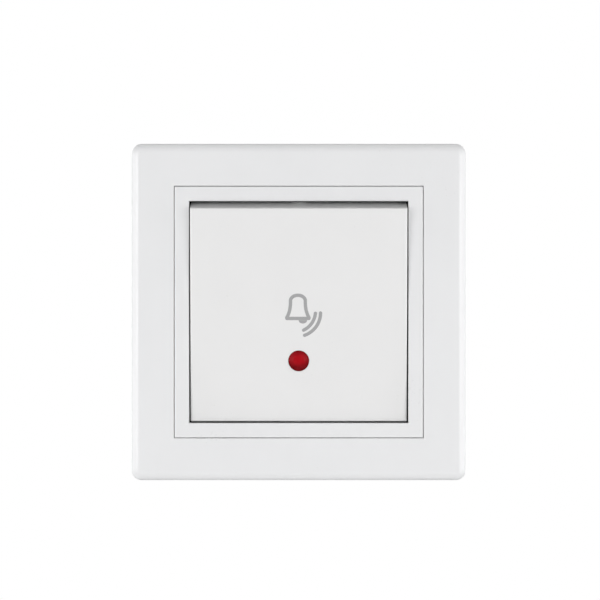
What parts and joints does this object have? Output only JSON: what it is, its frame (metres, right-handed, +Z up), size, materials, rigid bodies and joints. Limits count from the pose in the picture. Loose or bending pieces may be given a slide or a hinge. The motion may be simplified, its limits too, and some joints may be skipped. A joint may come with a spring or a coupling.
{
  "type": "doorbell push button",
  "caption": "Flush mounted white square doorbell push button with a rocker key, a grey bell sign and a red indicator lens.",
  "frame": {"origin": "centre of the mounting bridge's rear face, in the plane of the wall", "axes": "+Y into the wall, +Z up, the key faces -Y"},
  "size_m": [0.081, 0.0375, 0.0812],
  "materials": {
    "white_frame": "smooth gloss moulding",
    "white_key": "smooth gloss moulding",
    "red_lens": "clear red lens",
    "grey_moulding": "matte moulding",
    "light_housing": "matte thermoset moulding",
    "white_plunger": "smooth moulding",
    "zinc_steel": "bright zinc plated",
    "spring_steel": "drawn wire",
    "copper_alloy": "rolled strip",
    "terminal_brass": "turned and milled",
    "silver_contact": "polished contact face",
    "clear_glass": "clear",
    "resistor_body": "lacquered",
    "tinned_wire": "tinned"
  },
  "bodies": {
    "base": {"cover_frame": "white_frame", "inner_frame": "white_frame", "mounting_bridge": "zinc_steel", "housing_front": "grey_moulding", "housing_base": "light_housing", "housing_screws": "zinc_steel", "return_spring": "spring_steel", "neon_lamp": "clear_glass", "lamp_resistor": "resistor_body", "lamp_lead_left": "tinned_wire", "lamp_lead_right": "tinned_wire", "fixed_stud_left": "silver_contact", "fixed_stud_right": "silver_contact", "fixed_contact_left": "copper_alloy", "fixed_contact_right": "copper_alloy", "terminal_block_left": "terminal_brass", "terminal_block_right": "terminal_brass", "terminal_screw_left": "zinc_steel", "terminal_screw_right": "zinc_steel", "claw_nut_left": "zinc_steel", "claw_nut_right": "zinc_steel", "claw_screw_left": "zinc_steel", "claw_screw_right": "zinc_steel"},
    "key": {"rocker_key": "white_key", "indicator_lens": "red_lens", "rocker_carrier": "grey_moulding"},
    "plunger": {"contact_plunger": "white_plunger", "contact_bar": "copper_alloy", "moving_stud_left": "silver_contact", "moving_stud_right": "silver_contact"},
    "claw_left_body": {"claw_left": "zinc_steel"},
    "claw_right_body": {"claw_right": "zinc_steel"}
  },
  "joints": [
    {"name": "key_press", "type": "hinge", "parent": "base", "child": "key", "pos_m": [0, -0.00226, 0], "axis": [-1, 0, 0], "range_deg": [0, 8], "stiffness_Nm_per_rad": 0.12, "springref_deg": -11.46},
    {"name": "plunger_slide", "type": "slide", "parent": "base", "child": "plunger", "axis": [0, 1, 0], "range_m": [0, 0.00154], "deforming": ["return_spring"]},
    {"name": "claw_left_swing", "type": "hinge", "parent": "base", "child": "claw_left_body", "pos_m": [-0.0222, 0.0175, 0], "axis": [0, 0, -1], "range_deg": [0, 30]},
    {"name": "claw_right_swing", "type": "hinge", "parent": "base", "child": "claw_right_body", "pos_m": [0.0222, 0.0175, 0], "axis": [0, 0, 1], "range_deg": [0, 30]}
  ],
  "couplings": [
    {"joint": "plunger_slide", "follows": "key_press", "m_per_rad": 0.01098}
  ]
}
